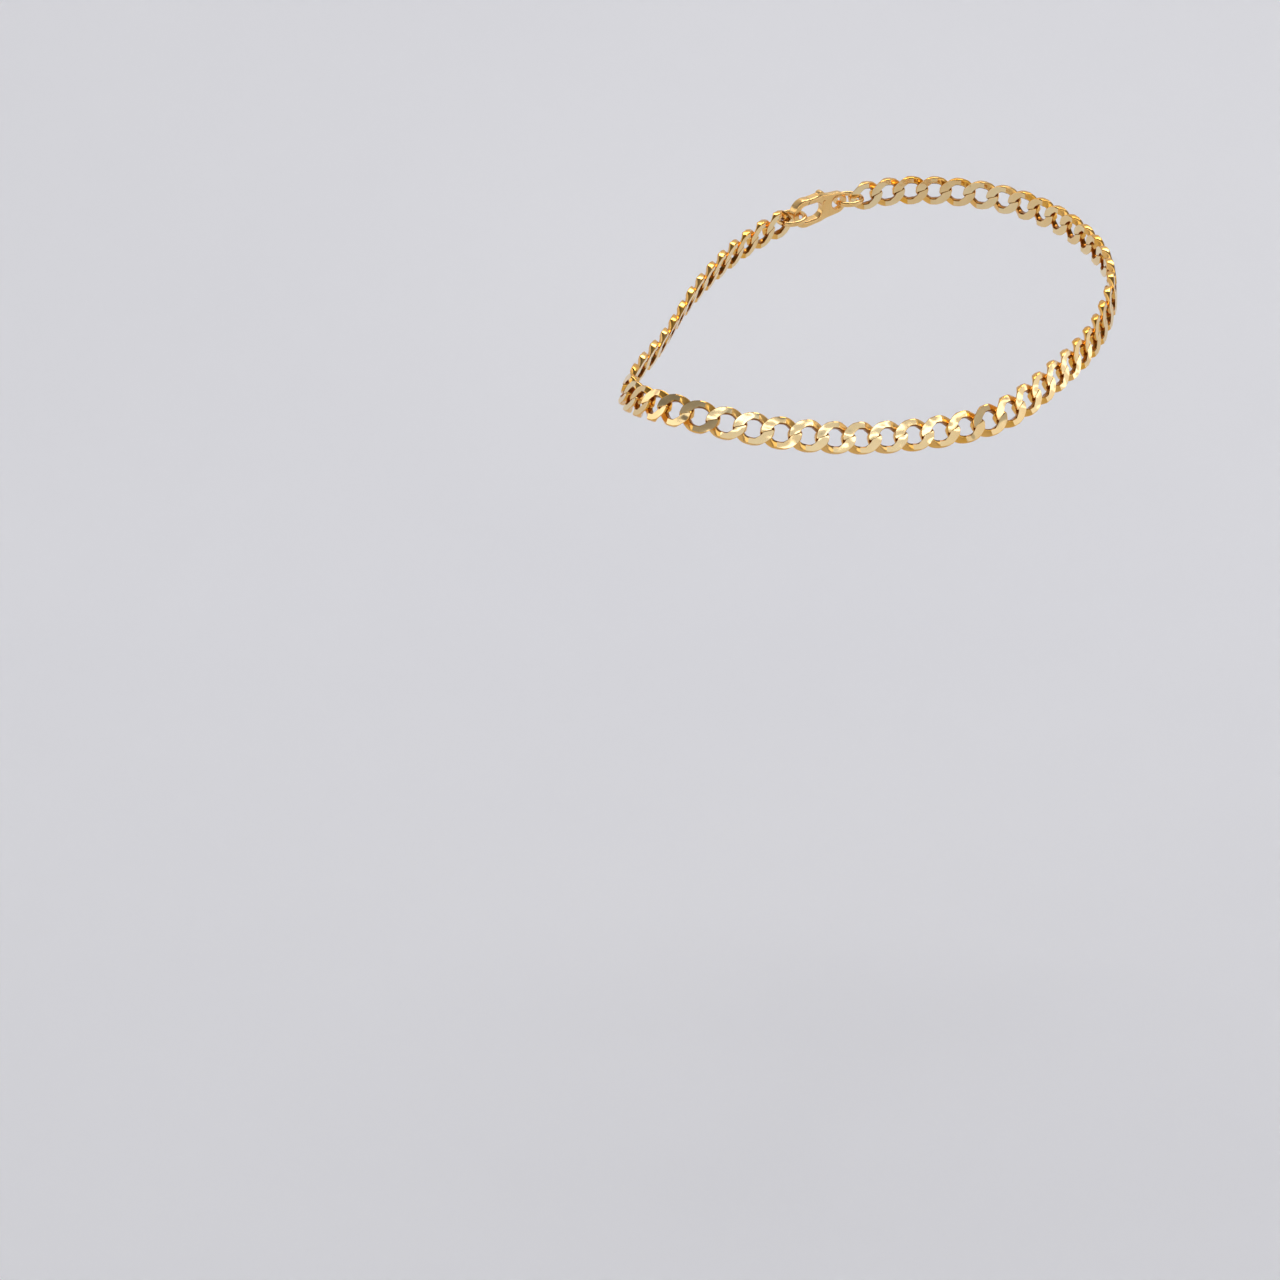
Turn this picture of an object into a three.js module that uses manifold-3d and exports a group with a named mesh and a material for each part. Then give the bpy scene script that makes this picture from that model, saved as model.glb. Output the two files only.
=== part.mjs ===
// A curb-chain anklet in yellow gold: one loop of flat, interlocked oval links,
// closed on the far side by a lobster-claw clasp between two jump rings.
// Millimetres. Seen from the front, +X runs to the right, +Y away from the viewer and +Z up.
// The origin is the middle of the loop.

import * as THREE from "three";
import { mergeVertices } from "three/addons/utils/BufferGeometryUtils.js";
import Module from "manifold-3d";

const wasm = await Module();
wasm.setup();

const MERGE_DISTANCE = 1e-4;

// The links: round wire bent to an oval, twisted, then pressed flat.
const LINK_PITCH = 4.2;
const LINK_WIDTH = 5.0;
const LINK_WIRE = 1.2;
const LINK_TWIST = THREE.MathUtils.degToRad(42);
const LINK_SQUARENESS = 2.5;
const CHAIN_THICKNESS = 1.4;
const LINK_FUSE = 0.2;
const LINK_STEPS = 12;
const WIRE_SIDES = 6;

// The jump rings at the chain's two ends.
const RING_DIAMETER = 5.6;
const RING_WIRE = 0.9;
const RING_STEPS = 16;
const RING_CLEARANCE = 0.5;

// The clasp: a flat teardrop body with an eye at one end and a closed hook at the other.
const CLASP_LENGTH = 11.4;
const CLASP_WIDTH = 5.2;
const CLASP_THICKNESS = 2.0;
const CLASP_WALL = 1.1;
const CLASP_HOLE_LENGTH = 5.0;
const CLASP_EDGE = 0.4;
const EYE_DIAMETER = 4.0;
const EYE_WALL = 0.9;
const EYE_THICKNESS = 1.1;
const LUG_RADIUS = 0.7;
const ARC_STEPS = 6;

// The band leans in at its upper edge, most on the loop's low side.
const LEAN_MEAN = THREE.MathUtils.degToRad(17);
const LEAN_SWING = THREE.MathUtils.degToRad(9);
const LOW_DIRECTION = new THREE.Vector3(-0.7, -0.7, 0).normalize();

// The loop in its worn form, from the clasp by the left and the near side.
const ROUTE = [
  new THREE.Vector3(-7.8, 35.2, 11.0),
  new THREE.Vector3(-20.2, 25.1, 7.0),
  new THREE.Vector3(-29.2, 11.0, 2.0),
  new THREE.Vector3(-35.5, -3.5, -4.0),
  new THREE.Vector3(-41.0, -19.0, -8.0),
  new THREE.Vector3(-34.0, -33.5, -7.5),
  new THREE.Vector3(-18.0, -37.5, -10.0),
  new THREE.Vector3(-1.5, -34.5, -11.5),
  new THREE.Vector3(15.0, -29.5, -10.0),
  new THREE.Vector3(26.0, -19.0, -6.0),
  new THREE.Vector3(35.2, -5.0, -1.5),
  new THREE.Vector3(39.3, 9.0, 4.3),
  new THREE.Vector3(35.5, 25.0, 9.0),
  new THREE.Vector3(24.9, 38.1, 12.0),
  new THREE.Vector3(8.0, 41.2, 13.0),
];
const ROUTE_DIVISIONS = 3000;

// What follows from the sizes above: a link's centreline, and how far from the middle of a link
// or of the clasp the rings' wire passes through.
const linkReach = (LINK_PITCH + LINK_WIRE - LINK_FUSE) / 2;
const linkRise = (LINK_WIDTH - LINK_WIRE) / 2;
const ringRadius = (RING_DIAMETER - RING_WIRE) / 2;
const ringSeat = RING_CLEARANCE + RING_WIRE / 2;
const linkSeat = linkReach - LINK_WIRE / 2 - ringSeat;
const eyeSeat = CLASP_LENGTH / 2 - EYE_WALL - ringSeat;
const hookSeat = CLASP_LENGTH / 2 - CLASP_WALL - ringSeat;
const eyeToLink = eyeSeat + 2 * ringRadius + linkSeat;
const hookToLink = hookSeat + 2 * ringRadius + linkSeat;

const gold = { color: 0xe6b84f, roughness: 0.18, metalness: 1.0 };

function solidFrom(geometry) {
  const bare = geometry.clone();
  bare.deleteAttribute("normal");
  bare.deleteAttribute("uv");
  const merged = mergeVertices(bare, MERGE_DISTANCE);
  const mesh = new wasm.Mesh({
    numProp: 3,
    vertProperties: Float32Array.from(merged.attributes.position.array),
    triVerts: Uint32Array.from(merged.index.array),
  });
  return new wasm.Manifold(mesh);
}

function geometryFrom(solid) {
  const mesh = solid.getMesh();
  const geometry = new THREE.BufferGeometry();
  geometry.setAttribute("position", new THREE.BufferAttribute(mesh.vertProperties, 3));
  geometry.setIndex(new THREE.BufferAttribute(mesh.triVerts, 1));
  geometry.computeVertexNormals();
  return geometry;
}

function namedMesh(name, geometry) {
  const mesh = new THREE.Mesh(geometry, new THREE.MeshStandardMaterial(gold));
  mesh.name = name;
  return mesh;
}

const route = new THREE.CatmullRomCurve3(ROUTE, true, "centripetal");
route.arcLengthDivisions = ROUTE_DIVISIONS;
const routeLength = route.getLength();

// The frame at a distance along the loop from the clasp's middle: x runs along the chain,
// y up its width and z out of the loop.
function placeAt(distance) {
  const share = THREE.MathUtils.euclideanModulo(distance / routeLength, 1);
  const point = route.getPointAt(share);
  const along = route.getTangentAt(share);
  const inward = new THREE.Vector3(-point.x, -point.y, 0).normalize();
  const lean = LEAN_MEAN - LEAN_SWING * inward.dot(LOW_DIRECTION);
  const up = new THREE.Vector3(0, 0, Math.cos(lean)).addScaledVector(inward, Math.sin(lean));
  up.addScaledVector(along, -up.dot(along)).normalize();
  const outward = new THREE.Vector3().crossVectors(along, up);
  return new THREE.Matrix4().makeBasis(along, up, outward).setPosition(point);
}

// The oval's centreline as a superellipse, with its outward normal in the link's own plane.
function ovalPoint(angle) {
  const exponent = 2 / LINK_SQUARENESS;
  const cosine = Math.cos(angle);
  const sine = Math.sin(angle);
  const x = linkReach * Math.sign(cosine) * Math.abs(cosine) ** exponent;
  const y = linkRise * Math.sign(sine) * Math.abs(sine) ** exponent;
  const slopeX = Math.sign(x) * Math.abs(x / linkReach) ** (LINK_SQUARENESS - 1) / linkReach;
  const slopeY = Math.sign(y) * Math.abs(y / linkRise) ** (LINK_SQUARENESS - 1) / linkRise;
  return { centre: new THREE.Vector3(x, y, 0), normal: new THREE.Vector3(slopeX, slopeY, 0).normalize() };
}

// Twisting brings the top bar's left end and the bottom bar's right end to the front,
// and pressing flattens what stands past the chain's two faces.
function twistAndPress(point) {
  const turn = -LINK_TWIST * THREE.MathUtils.clamp(point.x / linkReach, -1, 1);
  point.applyAxisAngle(new THREE.Vector3(1, 0, 0), turn);
  point.z = THREE.MathUtils.clamp(point.z, -CHAIN_THICKNESS / 2, CHAIN_THICKNESS / 2);
  return point;
}

function linkGeometry() {
  const positions = [];
  const faces = [];
  for (let step = 0; step < LINK_STEPS; step += 1) {
    const { centre, normal } = ovalPoint((step / LINK_STEPS) * 2 * Math.PI);
    for (let side = 0; side < WIRE_SIDES; side += 1) {
      const angle = (side / WIRE_SIDES) * 2 * Math.PI;
      const point = centre.clone().addScaledVector(normal, (LINK_WIRE / 2) * Math.cos(angle));
      point.z += (LINK_WIRE / 2) * Math.sin(angle);
      positions.push(...twistAndPress(point).toArray());
    }
  }
  for (let step = 0; step < LINK_STEPS; step += 1) {
    const next = (step + 1) % LINK_STEPS;
    for (let side = 0; side < WIRE_SIDES; side += 1) {
      const beside = (side + 1) % WIRE_SIDES;
      const a = step * WIRE_SIDES + side;
      const b = next * WIRE_SIDES + side;
      const c = next * WIRE_SIDES + beside;
      const d = step * WIRE_SIDES + beside;
      faces.push(a, b, c, a, c, d);
    }
  }
  const geometry = new THREE.BufferGeometry();
  geometry.setAttribute("position", new THREE.Float32BufferAttribute(positions, 3));
  geometry.setIndex(faces);
  return geometry;
}

// The links stand at equal steps from the ring beside the clasp's hook round to the ring in its eye.
function chainGeometry() {
  const run = routeLength - hookToLink - eyeToLink;
  const gaps = Math.round(run / LINK_PITCH);
  const link = linkGeometry();
  const links = [];
  for (let index = 0; index <= gaps; index += 1) {
    const placed = link.clone().applyMatrix4(placeAt(hookToLink + (run * index) / gaps));
    links.push(solidFrom(placed));
  }
  return geometryFrom(wasm.Manifold.union(links));
}

// The clasp's outline is a teardrop from the small eye to the wide hook, with the lever's thumb lug on top.
function claspOutline() {
  const eyeRadius = EYE_DIAMETER / 2;
  const hookRadius = CLASP_WIDTH / 2;
  const eyeX = eyeRadius - CLASP_LENGTH / 2;
  const hookX = CLASP_LENGTH / 2 - hookRadius;
  const lugX = (eyeX + hookX) / 2;
  const outline = new THREE.Shape();
  outline.moveTo(eyeX, eyeRadius);
  outline.absarc(eyeX, 0, eyeRadius, Math.PI / 2, (3 * Math.PI) / 2, false);
  outline.bezierCurveTo(lugX, -eyeRadius, lugX, -hookRadius, hookX, -hookRadius);
  outline.absarc(hookX, 0, hookRadius, -Math.PI / 2, Math.PI / 2, false);
  outline.lineTo(lugX + LUG_RADIUS, hookRadius);
  outline.absarc(lugX, hookRadius, LUG_RADIUS, 0, Math.PI, false);
  outline.quadraticCurveTo(lugX - LUG_RADIUS, eyeRadius, eyeX, eyeRadius);
  return outline;
}

function claspHoles() {
  const eyeX = EYE_DIAMETER / 2 - CLASP_LENGTH / 2;
  const holeRadius = CLASP_WIDTH / 2 - CLASP_WALL;
  const farX = CLASP_LENGTH / 2 - CLASP_WALL - holeRadius;
  const nearX = farX - CLASP_HOLE_LENGTH + 2 * holeRadius;
  const eye = new THREE.Path();
  eye.absarc(eyeX, 0, EYE_DIAMETER / 2 - EYE_WALL, 0, 2 * Math.PI, true);
  const hook = new THREE.Path();
  hook.moveTo(farX, holeRadius);
  hook.absarc(farX, 0, holeRadius, Math.PI / 2, -Math.PI / 2, true);
  hook.lineTo(nearX, -holeRadius);
  hook.absarc(nearX, 0, holeRadius, -Math.PI / 2, Math.PI / 2, true);
  return [eye, hook];
}

// The body tapers in thickness from the hook to the flat eye.
function thinTowardsEye(position) {
  const eyeX = EYE_DIAMETER - CLASP_LENGTH / 2;
  const hookX = CLASP_LENGTH / 2 - CLASP_WIDTH;
  for (let index = 0; index < position.count; index += 1) {
    const share = THREE.MathUtils.smoothstep(position.getX(index), eyeX, hookX);
    const thickness = THREE.MathUtils.lerp(EYE_THICKNESS, CLASP_THICKNESS, share);
    position.setZ(index, (position.getZ(index) * thickness) / CLASP_THICKNESS);
  }
}

function claspGeometry() {
  const outline = claspOutline();
  outline.holes = claspHoles();
  const geometry = new THREE.ExtrudeGeometry(outline, {
    depth: CLASP_THICKNESS - 2 * CLASP_EDGE,
    bevelEnabled: true,
    bevelThickness: CLASP_EDGE,
    bevelSize: CLASP_EDGE,
    bevelOffset: -CLASP_EDGE,
    bevelSegments: 1,
    curveSegments: ARC_STEPS,
  });
  geometry.translate(0, 0, CLASP_EDGE - CLASP_THICKNESS / 2);
  thinTowardsEye(geometry.attributes.position);
  return geometryFrom(solidFrom(geometry));
}

// A jump ring stands on edge across the chain, with its wire through the clasp on one side
// and through the end link on the other.
function ringGeometry(claspSide, linkPlace, linkSide) {
  const clasp = placeAt(0);
  const from = new THREE.Vector3(claspSide, 0, 0).applyMatrix4(clasp);
  const to = new THREE.Vector3(linkSide, 0, 0).applyMatrix4(linkPlace);
  const along = new THREE.Vector3().subVectors(to, from).normalize();
  const up = new THREE.Vector3().setFromMatrixColumn(clasp, 1);
  up.addScaledVector(along, -up.dot(along)).normalize();
  const outward = new THREE.Vector3().crossVectors(along, up);
  const middle = from.lerp(to, 0.5);
  const ring = new THREE.TorusGeometry(ringRadius, RING_WIRE / 2, WIRE_SIDES, RING_STEPS);
  ring.rotateX(Math.PI / 2);
  ring.applyMatrix4(new THREE.Matrix4().makeBasis(along, up, outward).setPosition(middle));
  return geometryFrom(solidFrom(ring));
}

const anklet = new THREE.Group();
anklet.add(namedMesh("chain", chainGeometry()));
anklet.add(namedMesh("clasp", claspGeometry().applyMatrix4(placeAt(0))));
anklet.add(namedMesh("clasp_ring", ringGeometry(-eyeSeat, placeAt(-eyeToLink), linkSeat)));
anklet.add(namedMesh("end_ring", ringGeometry(hookSeat, placeAt(hookToLink), -linkSeat)));

export default anklet;
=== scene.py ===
# A curb-chain anklet in polished yellow gold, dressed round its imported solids.
# The scene is in metres. Each piece is modelled in millimetres and set in its place at the end.

import math
import random

import bmesh
import bpy
import numpy as np
from mathutils import Matrix, Vector


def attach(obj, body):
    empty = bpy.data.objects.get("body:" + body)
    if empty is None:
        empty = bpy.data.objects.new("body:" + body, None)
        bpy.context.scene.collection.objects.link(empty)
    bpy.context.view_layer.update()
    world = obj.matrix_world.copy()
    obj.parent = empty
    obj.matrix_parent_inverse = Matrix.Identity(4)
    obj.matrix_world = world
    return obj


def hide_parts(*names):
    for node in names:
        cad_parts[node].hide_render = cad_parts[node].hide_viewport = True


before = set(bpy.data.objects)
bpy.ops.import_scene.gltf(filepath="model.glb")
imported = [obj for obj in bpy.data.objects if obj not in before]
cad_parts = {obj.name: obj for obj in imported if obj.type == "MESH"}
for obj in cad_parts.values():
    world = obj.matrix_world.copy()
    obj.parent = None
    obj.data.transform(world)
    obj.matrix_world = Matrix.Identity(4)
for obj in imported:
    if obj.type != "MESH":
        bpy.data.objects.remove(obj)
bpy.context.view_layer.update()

# The curb chain.
# Oval links of squared gold wire, twisted a quarter turn and hooked through each other, then rolled and cut
# flat on both faces, which leaves mirror facets. Worn, it lies low in front and climbs towards the back.

MM = 0.001
LOOP_POINTS = [
    (-7.8, 35.2, 11.0),
    (-20.2, 25.1, 7.0),
    (-29.2, 11.0, 2.0),
    (-35.5, -3.5, -4.0),
    (-41.0, -19.0, -8.0),
    (-34.0, -33.5, -7.5),
    (-18.0, -37.5, -10.0),
    (-1.5, -34.5, -11.5),
    (15.0, -29.5, -10.0),
    (26.0, -19.0, -6.0),
    (35.2, -5.0, -1.5),
    (39.3, 9.0, 4.3),
    (35.5, 25.0, 9.0),
    (24.9, 38.1, 12.0),
    (8.0, 41.2, 13.0),
]
LOOP_STEPS = 3000
SLOPE_STEP = 1e-4
LEAN_MEAN = math.radians(17)
LEAN_SWING = math.radians(9)
LOW_DIRECTION = Vector((-1, -1, 0)).normalized()
LINK_PITCH = 4.2
LINK_LENGTH = 6.4
LINK_WIDTH = 5.0
LINK_SIDES = 64
BAR_WIDTH = 1.15
END_WIDTH = 1.6
BAR_DEPTH = 1.25
BAR_FLAT = 0.45
BAR_TWIST = math.radians(45)
BAR_ROUND = 0.3
BAND_THICKNESS = 1.2
RIM_WIDTH = 0.05
CLAW_SLANT = math.radians(22)
CLAW_GAP = 0.05
CLAW_DEPTH = 0.5
CLAW_REACH = 0.72
CLAW_TRIM = 0.8
JOINT_REACH = 0.8
JOINT_HEIGHT = 0.9
SQUARE_BEND = 0.3
FEATHER_BEND = -0.6
RIM_BEND = 0.75
FACET_SLOPE = 0.9999
HOLE_SLOPE = -0.35
TOLERANCE = 1e-4
HOOK_TO_LINK = 9.4
EYE_TO_LINK = 9.6
SMOOTH_ANGLE = math.radians(28)
TONE_SEED = 11
PATTERN_STEP = 9.7
PATTERN_RISE = 5.3
PATTERN_ROWS = 7
GOLD_PALE = (0.96, 0.77, 0.44, 1)
GOLD_DEEP = (0.88, 0.44, 0.06, 1)
# The darkest gold is painted shade, for the walls inside the links' holes.
GOLD_HOLE_SHADE = (0.34, 0.13, 0.015, 1)
MARK_STRETCH = (0.6, 9.0, 9.0)
RELIEF_HEIGHT = 0.36 * MM
RELIEF_STRENGTH = 0.7


def loop_point(share):
    """The point at a share of the way round, on the smooth curve through the loop's points."""
    place = share % 1.0 * len(LOOP_POINTS)
    first = int(place)
    way = place - first
    places = [(first + step) % len(LOOP_POINTS) for step in (-1, 0, 1, 2)]
    before, start, end, after = (Vector(LOOP_POINTS[number]) for number in places)
    reach_before = (start - before).length ** 0.5
    reach = (end - start).length ** 0.5
    reach_after = (after - end).length ** 0.5
    slope = (end - start) / reach
    leave = (start - before) / reach_before - (end - before) / (reach_before + reach) + slope
    arrive = slope - (after - start) / (reach + reach_after) + (after - end) / reach_after
    leave *= reach
    arrive *= reach
    square = 3 * (end - start) - 2 * leave - arrive
    cube = 2 * (start - end) + leave + arrive
    return start + leave * way + square * way**2 + cube * way**3


loop_shares = np.linspace(0, 1, LOOP_STEPS + 1)
loop_marks = np.array([loop_point(share) for share in loop_shares])
loop_steps = np.linalg.norm(np.diff(loop_marks, axis=0), axis=1)
loop_distances = np.concatenate([[0], np.cumsum(loop_steps)])
loop_length = loop_distances[-1]


def place_at(distance):
    """Where a piece goes that far along from the clasp: x along the chain, y up it, z out of the loop."""
    share = np.interp(distance % loop_length, loop_distances, loop_shares)
    point = loop_point(share)
    along = (loop_point(share + SLOPE_STEP) - loop_point(share - SLOPE_STEP)).normalized()
    inward = Vector((-point.x, -point.y, 0)).normalized()
    lean = LEAN_MEAN - LEAN_SWING * inward.dot(LOW_DIRECTION)
    up = Vector((0, 0, math.cos(lean))) + inward * math.sin(lean)
    up = (up - along * up.dot(along)).normalized()
    return frame_at(point, along, up)


def frame_at(point, along, up):
    """A place in the scene, in metres, for a piece modelled in millimetres."""
    turn = Matrix((along, up, along.cross(up))).transposed().to_4x4()
    return Matrix.Scale(MM, 4) @ Matrix.Translation(point) @ turn


def pick(piece, parts, wanted):
    """Selects the verts, edges or faces in edit mode that pass a test, and nothing else."""
    bpy.ops.mesh.select_mode(type={"verts": "VERT", "edges": "EDGE", "faces": "FACE"}[parts])
    bpy.ops.mesh.select_all(action="DESELECT")
    shape = bmesh.from_edit_mesh(piece.data)
    for part in getattr(shape, parts):
        part.select_set(wanted(part))
    bmesh.update_edit_mesh(piece.data)


def edge_bend(edge):
    """1 where the two faces of an edge lie in one plane, 0 where they are square, less where it is sharp."""
    return edge.link_faces[0].normal.dot(edge.link_faces[1].normal)


def is_corner(edge):
    """An edge where two faces meet about square."""
    return abs(edge_bend(edge)) < SQUARE_BEND


def is_rim(edge):
    """A sharp edge of a link, but no feather edge, and none at the hidden foot of a claw's trimmed end."""
    ends = [corner.co for corner in edge.verts]
    near_joint = all(abs(abs(end.x) - LINK_PITCH / 2) < JOINT_REACH for end in ends)
    near_line = all(abs(end.y) < JOINT_HEIGHT for end in ends)
    on_face = all(abs(abs(end.z) - BAND_THICKNESS / 2) < TOLERANCE for end in ends)
    return FEATHER_BEND < edge_bend(edge) < RIM_BEND and (on_face or not (near_joint and near_line))


def is_facet(face):
    """One of the flat faces that are cut on the band."""
    return abs(face.normal.z) > FACET_SLOPE


def link_polish(face):
    """How well a link's face is buffed, which also sets its painted shade: 1 on the cut facets, 0 outside,
    and -1 inside the holes.
    """
    if is_facet(face):
        return 1
    outward = Vector((face.center.x / LINK_LENGTH**2, face.center.y / LINK_WIDTH**2, 0)).normalized()
    return -1 if face.normal.dot(outward) < HOLE_SLOPE else 0


def keep_marks(piece, polish_and_shade_of):
    """Stores each point's place on the piece as made, and how well each face is buffed, which also sets its
    painted shade, for the finish.
    """
    mesh = piece.data
    made = mesh.attributes.new("made_at", "FLOAT_VECTOR", "POINT")
    made.data.foreach_set("vector", [value for corner in mesh.vertices for value in corner.co])
    across = mesh.attributes.new("across", "FLOAT", "POINT")
    across.data.foreach_set("value", [corner.co.y for corner in mesh.vertices])
    polish_and_shade = mesh.attributes.new("polish_and_shade", "FLOAT", "FACE")
    polish_and_shade.data.foreach_set("value", [float(polish_and_shade_of(face)) for face in mesh.polygons])
    tone = mesh.attributes.new("tone", "FLOAT", "POINT")
    tone.data.foreach_set("value", [0.5] * len(mesh.vertices))


def combine(piece, part, operation, solver="MANIFOLD"):
    """Joins a part to the piece or cuts it out of it, and takes the part away."""
    bpy.context.view_layer.objects.active = piece
    cut = piece.modifiers.new("combine", "BOOLEAN")
    cut.operation = operation
    cut.object = part
    cut.solver = solver
    bpy.ops.object.modifier_apply(modifier="combine")
    bpy.data.objects.remove(part)
    piece.data.materials.clear()


bpy.ops.object.select_all(action="DESELECT")
bpy.ops.mesh.primitive_circle_add(vertices=LINK_SIDES, radius=1)
link = bpy.context.object
bpy.ops.object.mode_set(mode="EDIT")
bpy.ops.mesh.select_all(action="SELECT")
bpy.ops.transform.resize(value=(LINK_LENGTH / 2, LINK_WIDTH / 2, 1))
bpy.ops.mesh.duplicate()
bpy.ops.transform.resize(value=(1 - 2 * END_WIDTH / LINK_LENGTH, 1 - 2 * BAR_WIDTH / LINK_WIDTH, 1))
bpy.ops.mesh.select_all(action="SELECT")
bpy.ops.mesh.bridge_edge_loops()
for side in (-1, 1):
    bpy.ops.mesh.select_all(action="SELECT")
    bpy.ops.mesh.bisect(plane_co=(side * BAR_FLAT, 0, 0), plane_no=(1, 0, 0))
bpy.ops.mesh.select_all(action="SELECT")
bpy.ops.mesh.extrude_region_move(TRANSFORM_OT_translate={"value": (0, 0, BAR_DEPTH)})
bpy.ops.mesh.select_all(action="SELECT")
bpy.ops.transform.translate(value=(0, 0, -BAR_DEPTH / 2))
bpy.ops.mesh.normals_make_consistent(inside=False)
pick(link, "edges", is_corner)
bpy.ops.mesh.bevel(offset=BAR_ROUND, segments=4, affect="EDGES")
bpy.ops.object.mode_set(mode="OBJECT")

# Each end is turned about the chain's line, from the flat middle of the bars outwards.
half_length = LINK_LENGTH / 2
twist_rate = BAR_TWIST / (half_length - BAR_WIDTH / 2 - BAR_FLAT)
for name, low, high in (("right_end", BAR_FLAT, half_length), ("left_end", -half_length, -BAR_FLAT)):
    twist = link.modifiers.new(name, "SIMPLE_DEFORM")
    twist.deform_method = "TWIST"
    twist.deform_axis = "X"
    twist.angle = -twist_rate * (high - low)
    twist.limits = ((low + half_length) / LINK_LENGTH, (high + half_length) / LINK_LENGTH)
    bpy.ops.object.modifier_apply(modifier=name)

# The two flat faces of the band are cut, and their rims are broken by the polishing.
bpy.ops.object.mode_set(mode="EDIT")
for side in (1, -1):
    bpy.ops.mesh.select_all(action="SELECT")
    face_place = (0, 0, side * BAND_THICKNESS / 2)
    bpy.ops.mesh.bisect(plane_co=face_place, plane_no=(0, 0, side), use_fill=True, clear_outer=True)
bpy.ops.object.mode_set(mode="OBJECT")

# The claws of neighbouring links meet along a slanting line, where the rolling pressed them together.
for turn in ("NONE", "X", "Y", "Z"):
    bpy.ops.object.select_all(action="DESELECT")
    bpy.ops.mesh.primitive_cube_add(size=2)
    block = bpy.context.object
    block.data.transform(Matrix.Diagonal((CLAW_REACH, CLAW_TRIM / 2, 1, 1)))
    block.data.transform(Matrix.Translation((0, -CLAW_TRIM / 2, 1)))
    block.data.transform(Matrix.Translation((0, CLAW_GAP / 2, BAND_THICKNESS / 2 - CLAW_DEPTH)))
    block.data.transform(Matrix.Translation((-LINK_PITCH / 2, 0, 0)) @ Matrix.Rotation(CLAW_SLANT, 4, "Z"))
    if turn != "NONE":
        block.data.transform(Matrix.Rotation(math.pi, 4, turn))
    combine(link, block, "DIFFERENCE", "EXACT")
bpy.ops.object.select_all(action="DESELECT")
link.select_set(True)
bpy.context.view_layer.objects.active = link
bpy.ops.object.mode_set(mode="EDIT")
pick(link, "edges", is_rim)
bpy.ops.mesh.bevel(offset=RIM_WIDTH, segments=2, affect="EDGES")
bpy.ops.mesh.select_all(action="SELECT")
bpy.ops.mesh.normals_make_consistent(inside=False)
bpy.ops.object.mode_set(mode="OBJECT")
bpy.ops.object.shade_smooth_by_angle(angle=SMOOTH_ANGLE)
bpy.ops.object.mode_set(mode="EDIT")
pick(link, "faces", is_facet)
bpy.ops.mesh.faces_shade_flat()
bpy.ops.object.mode_set(mode="OBJECT")
keep_marks(link, link_polish)

# The links stand at equal steps from the ring beside the hook round to the ring in the clasp's eye.
run = loop_length - HOOK_TO_LINK - EYE_TO_LINK
gaps = round(run / LINK_PITCH)
tones = random.Random(TONE_SEED)
links = []
for index in range(gaps + 1):
    copy = link.copy()
    copy.data = link.data.copy()
    bpy.context.collection.objects.link(copy)
    for mark in copy.data.attributes["made_at"].data:
        mark.vector[0] += PATTERN_STEP * index
        mark.vector[1] += PATTERN_RISE * (index % PATTERN_ROWS)
    shade = tones.random()
    copy.data.attributes["tone"].data.foreach_set("value", [shade] * len(copy.data.vertices))
    copy.data.transform(place_at(HOOK_TO_LINK + run * index / gaps))
    links.append(copy)
bpy.data.objects.remove(link)
bpy.ops.object.select_all(action="DESELECT")
for copy in links:
    copy.select_set(True)
bpy.context.view_layer.objects.active = links[0]
bpy.ops.object.join()
chain = bpy.context.object
chain.name = "curb_chain"
chain.data.name = "curb_chain"


class Paint:
    """A socket of a finish. Sums and products of it add Math nodes, and node() adds any other."""

    def __init__(self, tree, socket=None):
        self.tree = tree
        self.socket = socket

    def node(self, kind, settings, sockets, output=0):
        """Adds a node: its settings come first, then the values or links of its sockets."""
        made = self.tree.nodes.new(kind)
        for name, value in settings.items():
            setattr(made, name, value)
        for name, value in sockets.items():
            if isinstance(value, Paint):
                self.tree.links.new(value.socket, made.inputs[name])
            else:
                made.inputs[name].default_value = value
        return Paint(self.tree, made.outputs[output])

    def math(self, operation, first, second):
        return self.node("ShaderNodeMath", {"operation": operation}, {0: first, 1: second})

    def __add__(self, other):
        return self.math("ADD", self, other)

    __radd__ = __add__

    def __sub__(self, other):
        return self.math("SUBTRACT", self, other)

    def __rsub__(self, other):
        return self.math("SUBTRACT", other, self)

    def __mul__(self, other):
        return self.math("MULTIPLY", self, other)

    __rmul__ = __mul__

    def mix(self, first, second):
        """Blends two colours, with this socket as the share of the second."""
        sockets = {"Factor": self, 6: first, 7: second}
        return self.node("ShaderNodeMix", {"data_type": "RGBA"}, sockets, output=2)


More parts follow.
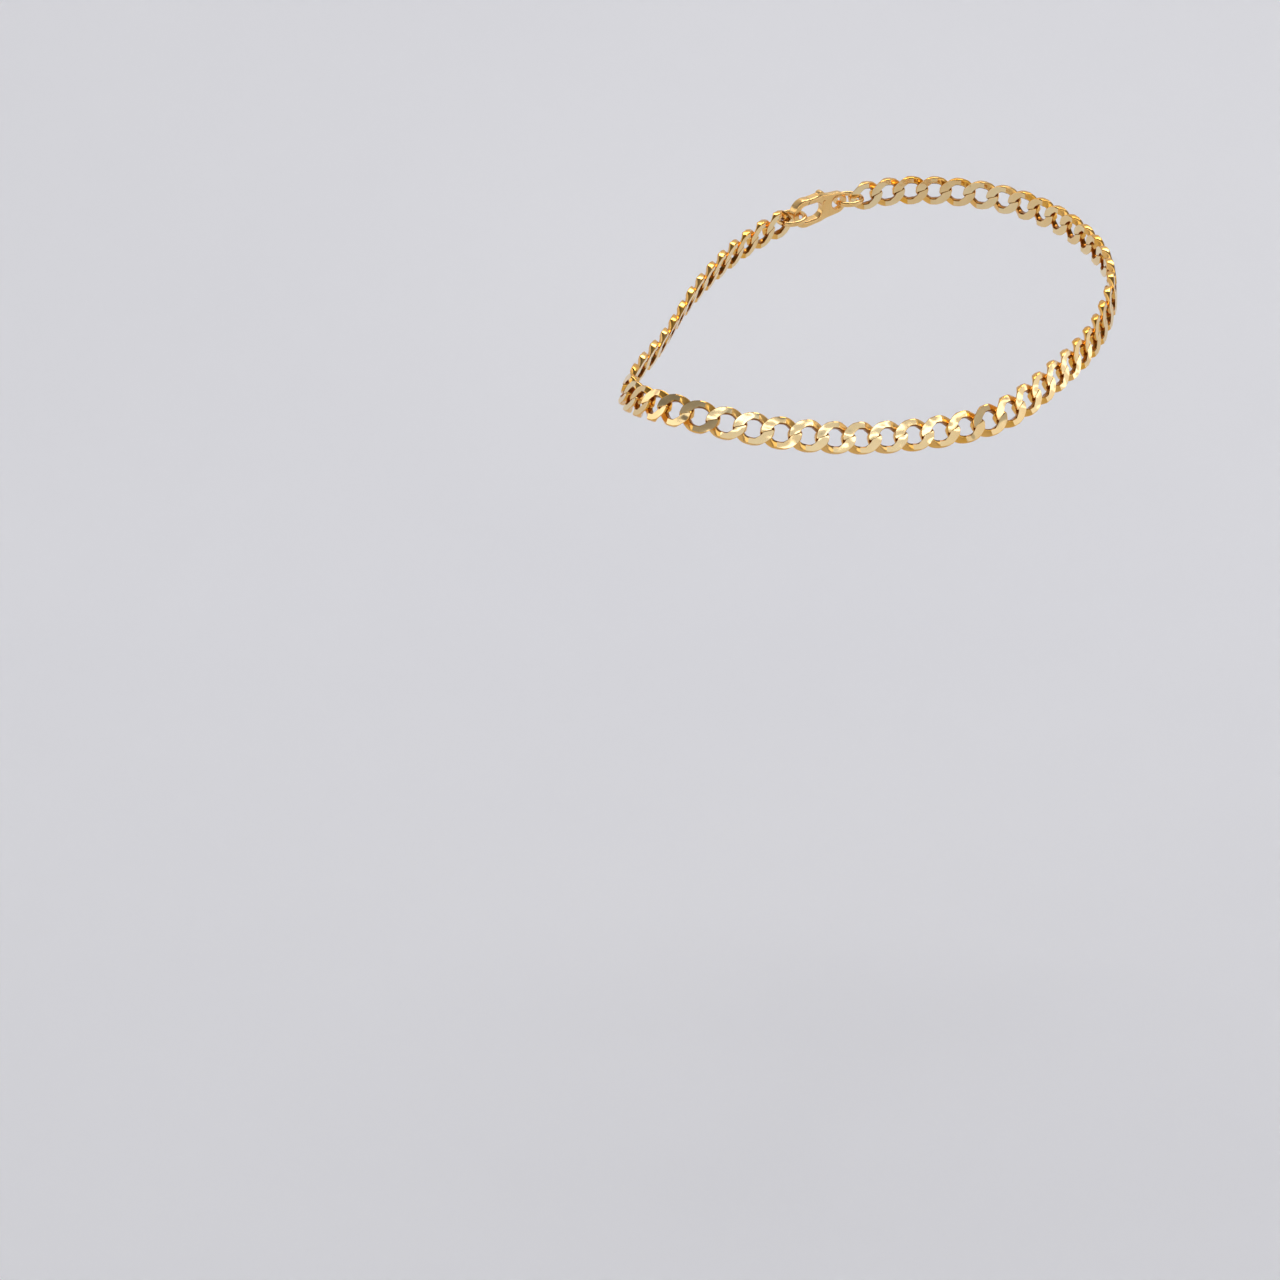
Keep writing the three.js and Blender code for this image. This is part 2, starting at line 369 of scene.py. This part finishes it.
def polished_gold(name, smooth, worn, lightness, crown=0.0):
    """Yellow gold plate, buffed to a slight crown, with painted shade: pale on the cut facets, deeper orange
    elsewhere, and dark inside the holes.
    """
    material = bpy.data.materials.new(name)
    material.use_nodes = True
    tree = material.node_tree
    surface = tree.nodes["Principled BSDF"]
    paint = Paint(tree)
    made_at = paint.node("ShaderNodeAttribute", {"attribute_name": "made_at"}, {}, output="Vector")
    polish_and_shade = paint.node("ShaderNodeAttribute", {"attribute_name": "polish_and_shade"}, {}, output="Fac")
    tone = paint.node("ShaderNodeAttribute", {"attribute_name": "tone"}, {}, output="Fac")
    across = paint.node("ShaderNodeAttribute", {"attribute_name": "across"}, {}, output="Fac")
    drawn_out = paint.node("ShaderNodeMapping", {}, {"Vector": made_at, "Scale": MARK_STRETCH})
    marks = paint.node("ShaderNodeTexNoise", {}, {"Vector": drawn_out, "Scale": 3.0, "Detail": 4.0})
    cloud = paint.node("ShaderNodeTexNoise", {}, {"Vector": made_at, "Scale": 0.55, "Detail": 2.0})
    wave = paint.node("ShaderNodeTexNoise", {}, {"Vector": made_at, "Scale": 0.35, "Detail": 1.0})
    # Painted shade: faces off the cut facets are mixed deeper orange, and the walls inside the holes darker
    # still. The noise and the tone of each link are the metal's own.
    depth = 0.35 * cloud + 0.2 * marks + 0.25 * tone - 0.65 * polish_and_shade + (0.55 - lightness)
    # Inside the holes the colour is painted shade: the walls there are mixed towards the darkest gold.
    hidden = paint.math("MAXIMUM", 0 - polish_and_shade, 0.0)
    gold = hidden.mix(depth.mix(GOLD_PALE, GOLD_DEEP), GOLD_HOLE_SHADE)
    rough = smooth + worn * marks + 0.5 * worn * cloud - 0.5 * worn * polish_and_shade
    relief = 0.004 * marks + wave - crown * across * across
    sockets = {"Strength": RELIEF_STRENGTH, "Distance": RELIEF_HEIGHT, "Height": relief}
    bump = paint.node("ShaderNodeBump", {}, sockets)
    surface.inputs["Metallic"].default_value = 1
    for socket, value in (("Base Color", gold), ("Roughness", rough), ("Normal", bump)):
        tree.links.new(value.socket, surface.inputs[socket])
    return material


chain_finish = polished_gold("chain_gold", smooth=0.06, worn=0.10, lightness=0.12, crown=0.05)
chain.data.materials.append(chain_finish)
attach(chain, "root")
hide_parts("chain")

# The two jump rings.
# Plain round gold wire, wound to a ring and cut, so that each is closed by a hairline seam.
# One joins the chain's last link to the clasp's eye, and the clasp's hook closes round the other.

RING_RADIUS = 2.35
RING_WIRE = 0.9
RING_SEAM = math.radians(2.0)
RING_STEPS = 56
RING_TILT = math.radians(25)
WIRE_SIDES = 20
WIRE_EDGE = 0.05
WIRE_EDGE_ANGLE = math.radians(60)
LINK_SEAT = 1.05
EYE_SEAT = 3.85
HOOK_SEAT = 3.65


def make_ring(name, clasp_side, link_place, link_side):
    """A ring that stands on edge, with its wire through the clasp on one side and a link on the other."""
    bpy.ops.object.select_all(action="DESELECT")
    bpy.ops.mesh.primitive_circle_add(vertices=WIRE_SIDES, radius=RING_WIRE / 2, fill_type="NGON")
    ring = bpy.context.object
    bpy.ops.object.mode_set(mode="EDIT")
    bpy.ops.mesh.select_all(action="SELECT")
    bpy.ops.transform.translate(value=(0, RING_RADIUS, 0))
    turn = 2 * math.pi - RING_SEAM
    bpy.ops.mesh.spin(steps=RING_STEPS, angle=turn, center=(0, 0, 0), axis=(1, 0, 0), use_auto_merge=False)
    bpy.ops.mesh.select_all(action="SELECT")
    bpy.ops.mesh.remove_doubles(threshold=1e-5)
    bpy.ops.mesh.normals_make_consistent(inside=False)
    pick(ring, "edges", lambda edge: edge.calc_face_angle(0) > WIRE_EDGE_ANGLE)
    bpy.ops.mesh.bevel(offset=WIRE_EDGE, segments=2, affect="EDGES")
    bpy.ops.object.mode_set(mode="OBJECT")
    bpy.ops.object.shade_smooth_by_angle(angle=SMOOTH_ANGLE)
    keep_marks(ring, lambda face: 0)
    clasp_place = place_at(0)
    start = clasp_place @ Vector((clasp_side, 0, 0)) / MM
    end = link_place @ Vector((link_side, 0, 0)) / MM
    along = (end - start).normalized()
    up = clasp_place.col[1].to_3d()
    up = (up - along * up.dot(along)).normalized()
    lay_down = Matrix.Rotation(math.radians(90), 4, "Z") @ Matrix.Rotation(RING_TILT, 4, "X")
    ring.data.transform(frame_at((start + end) / 2, along, up) @ lay_down)
    ring.name = name
    ring.data.name = name
    ring.data.materials.append(polished_gold(name + "_gold", smooth=0.10, worn=0.10, lightness=0.42))
    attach(ring, "root")
    return ring


eye_ring = make_ring("clasp_jump_ring", -EYE_SEAT, place_at(-EYE_TO_LINK), LINK_SEAT)
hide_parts("clasp_ring")
hook_ring = make_ring("end_jump_ring", HOOK_SEAT, place_at(HOOK_TO_LINK), -LINK_SEAT)
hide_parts("end_ring")

# The lobster-claw clasp.
# A cast gold body, full and rounded at the hook and flat at the eye, tumbled smooth.
# Its sprung lever fills the top of the hook, turns on a rivet and has a lug for the thumb.

CLASP_LENGTH = 11.4
HOOK_RADIUS = 2.6
EYE_RADIUS = 2.0
HOOK_HOLE = 1.5
EYE_HOLE = 1.1
HOLE_LENGTH = 5.0
CLASP_THICKNESS = 2.0
EYE_THICKNESS = 1.1
CLASP_ROUND = 0.38
HOOK_X = CLASP_LENGTH / 2 - HOOK_RADIUS
EYE_X = EYE_RADIUS - CLASP_LENGTH / 2
SIDE_CUTS = 12
SWELL_X = -3.0
SWELL_HEIGHT = 0.3
SWELL_REACH = 2.4
TAPER_START = -1.9
TAPER_STEP = 0.35
TAPER_STATIONS = 9
TAPER_X = -1.7
TAPER_LENGTH = 2.2
SEAM_PLACE = (2.45, 2.2, 0)
SEAM_SLANT = math.radians(28)
SEAM_SIZE = (0.1, 2.2, 3)
LUG_PLACE = (-0.3, 2.5, 0)
LUG_RADIUS = 0.7
LUG_LENGTH = 1.3
LUG_ROUND = 0.25
RIVET_PLACE = (-0.95, 0.95, 0)
RIVET_RADIUS = 0.42
RIVET_LENGTH = 1.7
PEG_SIDES = 28

bpy.ops.object.select_all(action="DESELECT")
bpy.ops.mesh.primitive_circle_add(vertices=64, radius=HOOK_RADIUS)
clasp = bpy.context.object
bpy.ops.object.mode_set(mode="EDIT")
pick(clasp, "verts", lambda corner: corner.co.x < -TOLERANCE)
bpy.ops.transform.resize(value=(EYE_RADIUS / HOOK_RADIUS,) * 3, center_override=(0, 0, 0))
bpy.ops.transform.translate(value=(EYE_X - HOOK_X, 0, 0))
pick(clasp, "edges", lambda edge: edge.calc_length() > EYE_RADIUS)
bpy.ops.mesh.subdivide(number_cuts=SIDE_CUTS)
pick(clasp, "verts", lambda corner: corner.co.y > 0 and abs(corner.co.x - SWELL_X) < 0.3)
bpy.ops.transform.translate(
    value=(0, SWELL_HEIGHT, 0),
    use_proportional_edit=True,
    proportional_edit_falloff="SMOOTH",
    proportional_size=SWELL_REACH,
)
bpy.ops.mesh.select_all(action="DESELECT")
bpy.ops.mesh.primitive_circle_add(vertices=32, radius=EYE_HOLE, location=(EYE_X - HOOK_X, 0, 0))
bpy.ops.mesh.select_all(action="DESELECT")
bpy.ops.mesh.primitive_circle_add(vertices=40, radius=HOOK_HOLE)
pick(clasp, "verts", lambda hole: hole.co.x < -TOLERANCE and abs(hole.co.length - HOOK_HOLE) < TOLERANCE)
bpy.ops.transform.translate(value=(2 * HOOK_HOLE - HOLE_LENGTH, 0, 0))
bpy.ops.mesh.select_all(action="SELECT")
bpy.ops.transform.translate(value=(HOOK_X, 0, 0))
bpy.ops.mesh.select_mode(type="EDGE")
bpy.ops.mesh.select_all(action="SELECT")
bpy.ops.mesh.fill(use_beauty=True)
bpy.ops.mesh.extrude_region_move(TRANSFORM_OT_translate={"value": (0, 0, CLASP_THICKNESS)})
bpy.ops.mesh.select_all(action="SELECT")
bpy.ops.transform.translate(value=(0, 0, -CLASP_THICKNESS / 2))
bpy.ops.mesh.normals_make_consistent(inside=False)
pick(clasp, "edges", is_corner)
bpy.ops.mesh.bevel(offset=CLASP_ROUND, segments=4, affect="EDGES")
for station in range(TAPER_STATIONS):
    bpy.ops.mesh.select_all(action="SELECT")
    bpy.ops.mesh.bisect(plane_co=(TAPER_START + TAPER_STEP * station, 0, 0), plane_no=(1, 0, 0))
bpy.ops.object.mode_set(mode="OBJECT")
for corner in clasp.data.vertices:
    way = min(max((corner.co.x - TAPER_X) / TAPER_LENGTH, 0), 1)
    share = way * way * (3 - 2 * way)
    corner.co.z *= (EYE_THICKNESS + (CLASP_THICKNESS - EYE_THICKNESS) * share) / CLASP_THICKNESS

# The lever's seam is cut, and its thumb lug and rivet are let into the body.
bpy.ops.object.select_all(action="DESELECT")
bpy.ops.mesh.primitive_cube_add(size=1, location=SEAM_PLACE, rotation=(0, 0, SEAM_SLANT), scale=SEAM_SIZE)
combine(clasp, bpy.context.object, "DIFFERENCE")
bpy.ops.object.select_all(action="DESELECT")
bpy.ops.mesh.primitive_cylinder_add(
    vertices=PEG_SIDES, radius=LUG_RADIUS, depth=LUG_LENGTH, location=LUG_PLACE
)
lug = bpy.context.object
bpy.ops.object.mode_set(mode="EDIT")
pick(lug, "edges", is_corner)
bpy.ops.mesh.bevel(offset=LUG_ROUND, segments=3, affect="EDGES")
bpy.ops.object.mode_set(mode="OBJECT")
combine(clasp, lug, "UNION")
bpy.ops.object.select_all(action="DESELECT")
bpy.ops.mesh.primitive_cylinder_add(
    vertices=PEG_SIDES, radius=RIVET_RADIUS, depth=RIVET_LENGTH, location=RIVET_PLACE
)
combine(clasp, bpy.context.object, "UNION")
bpy.ops.object.select_all(action="DESELECT")
clasp.select_set(True)
bpy.context.view_layer.objects.active = clasp
bpy.ops.object.shade_smooth_by_angle(angle=SMOOTH_ANGLE)
even = clasp.modifiers.new("even", "WEIGHTED_NORMAL")
even.keep_sharp = True
bpy.ops.object.modifier_apply(modifier="even")
keep_marks(clasp, lambda face: 0)
clasp.data.transform(place_at(0))
clasp.name = "lobster_clasp"
clasp.data.name = "lobster_clasp"
clasp.data.materials.append(polished_gold("clasp_gold", smooth=0.11, worn=0.12, lightness=0.40))
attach(clasp, "root")
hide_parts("clasp")

# The floor and the backdrop.
# One pale matt sheet that lies under the anklet and curves up behind it, as in a small photo tent.

FLOOR_HEIGHT = -0.118
SHEET_HALF = 1.6
SHEET_BACK = 0.55
SHEET_RISE = 1.6
SWEEP_RADIUS = 0.35
PAPER_DARK = (0.89, 0.89, 0.92, 1)
PAPER_LIGHT = (0.94, 0.94, 0.96, 1)


def is_back(edge):
    """An edge of the sheet that lies in its back."""
    return all(corner.co.y > SHEET_BACK - TOLERANCE for corner in edge.verts)


def is_fold(edge):
    """The edge between the floor and the backdrop."""
    return is_back(edge) and all(corner.co.z < FLOOR_HEIGHT + TOLERANCE for corner in edge.verts)


bpy.ops.object.select_all(action="DESELECT")
bpy.ops.mesh.primitive_plane_add(size=2)
sheet = bpy.context.object
bpy.ops.object.mode_set(mode="EDIT")
bpy.ops.mesh.select_all(action="SELECT")
bpy.ops.transform.resize(value=(SHEET_HALF, (SHEET_HALF + SHEET_BACK) / 2, 1))
bpy.ops.transform.translate(value=(0, (SHEET_BACK - SHEET_HALF) / 2, FLOOR_HEIGHT))
pick(sheet, "edges", is_back)
bpy.ops.mesh.extrude_region_move(TRANSFORM_OT_translate={"value": (0, 0, SHEET_RISE)})
pick(sheet, "edges", is_fold)
bpy.ops.mesh.bevel(offset=SWEEP_RADIUS, segments=24, affect="EDGES")
bpy.ops.object.mode_set(mode="OBJECT")
bpy.ops.object.shade_smooth()
sheet.name = "floor_sheet"
paper = bpy.data.materials.new("floor_paper")
paper.use_nodes = True
paper_surface = paper.node_tree.nodes["Principled BSDF"]
paper_paint = Paint(paper.node_tree)
paper_place = paper_paint.node("ShaderNodeTexCoord", {}, {}, output="Object")
grain = paper_paint.node("ShaderNodeTexNoise", {}, {"Vector": paper_place, "Scale": 5.0, "Detail": 3.0})
paper_colour = grain.mix(PAPER_DARK, PAPER_LIGHT)
paper.node_tree.links.new(paper_colour.socket, paper_surface.inputs["Base Color"])
paper_surface.inputs["Roughness"].default_value = 0.6
sheet.data.materials.append(paper)

# The studio light.
# A white tent, darker overhead than below, with soft boxes in front, at both sides and above the back.
# Two thin tubes give the facets their bright streaks. The right one is tilted as the chain climbs.

TENT_COLOUR = (0.96, 0.96, 1.0, 1)
SOFT_BOXES = {
    "front_box": ((0.3, -1.0, 0.50), (1.4, 0.52), 0.32, 0),
    "front_tube": ((0.2, -0.95, 0.57), (1.3, 0.07), 1.7, 0),
    "left_box": ((-0.85, -0.31, 0.25), (1.9, 0.40), 0.92, 0),
    "right_box": ((0.9, 0.03, 0.08), (1.4, 0.5), 0.42, 0),
    "right_tube": ((0.84, 0.03, 0.115), (0.95, 0.05), 0.95, -29),
    "back_box": ((0.1, 0.45, 1.0), (0.8, 0.3), 5.4, 0),
}

world = bpy.data.worlds.new("tent")
world.use_nodes = True
bpy.context.scene.world = world
tent = Paint(world.node_tree)
towards = tent.node("ShaderNodeTexCoord", {}, {}, output="Generated")
ways = tent.node("ShaderNodeSeparateXYZ", {}, {"Vector": towards})
upward = Paint(world.node_tree, ways.socket.node.outputs["Z"])
backward = Paint(world.node_tree, ways.socket.node.outputs["Y"])
rightward = Paint(world.node_tree, ways.socket.node.outputs["X"])
glow = 0.47 - 0.33 * upward - 0.12 * backward + 0.10 * rightward
background = world.node_tree.nodes["Background"]
background.inputs["Color"].default_value = TENT_COLOUR
world.node_tree.links.new(glow.socket, background.inputs["Strength"])

for name, (place, (width, height), brightness, roll) in SOFT_BOXES.items():
    box = bpy.data.lights.new(name, "AREA")
    box.shape = "RECTANGLE"
    box.size = width
    box.size_y = height
    box.energy = brightness * math.pi * width * height
    lamp = bpy.data.objects.new(name, box)
    lamp.location = place
    aim = (-Vector(place)).to_track_quat("-Z", "Y").to_matrix()
    lamp.rotation_euler = (aim @ Matrix.Rotation(math.radians(roll), 3, "Z")).to_euler()
    bpy.context.collection.objects.link(lamp)

# The camera, from the front and a little above, as the photograph was taken.

CAMERA_PLACE = (-0.0391, -0.4028, 0.0897)
CAMERA_TILT = math.radians(70)
LENS = 70.3

camera_data = bpy.data.cameras.new("camera")
camera_data.sensor_width = 36
camera_data.lens = LENS
camera = bpy.data.objects.new("camera", camera_data)
camera.location = CAMERA_PLACE
camera.rotation_euler = (CAMERA_TILT, 0, 0)
bpy.context.collection.objects.link(camera)
bpy.context.scene.camera = camera
bpy.context.scene.view_settings.view_transform = "Standard"
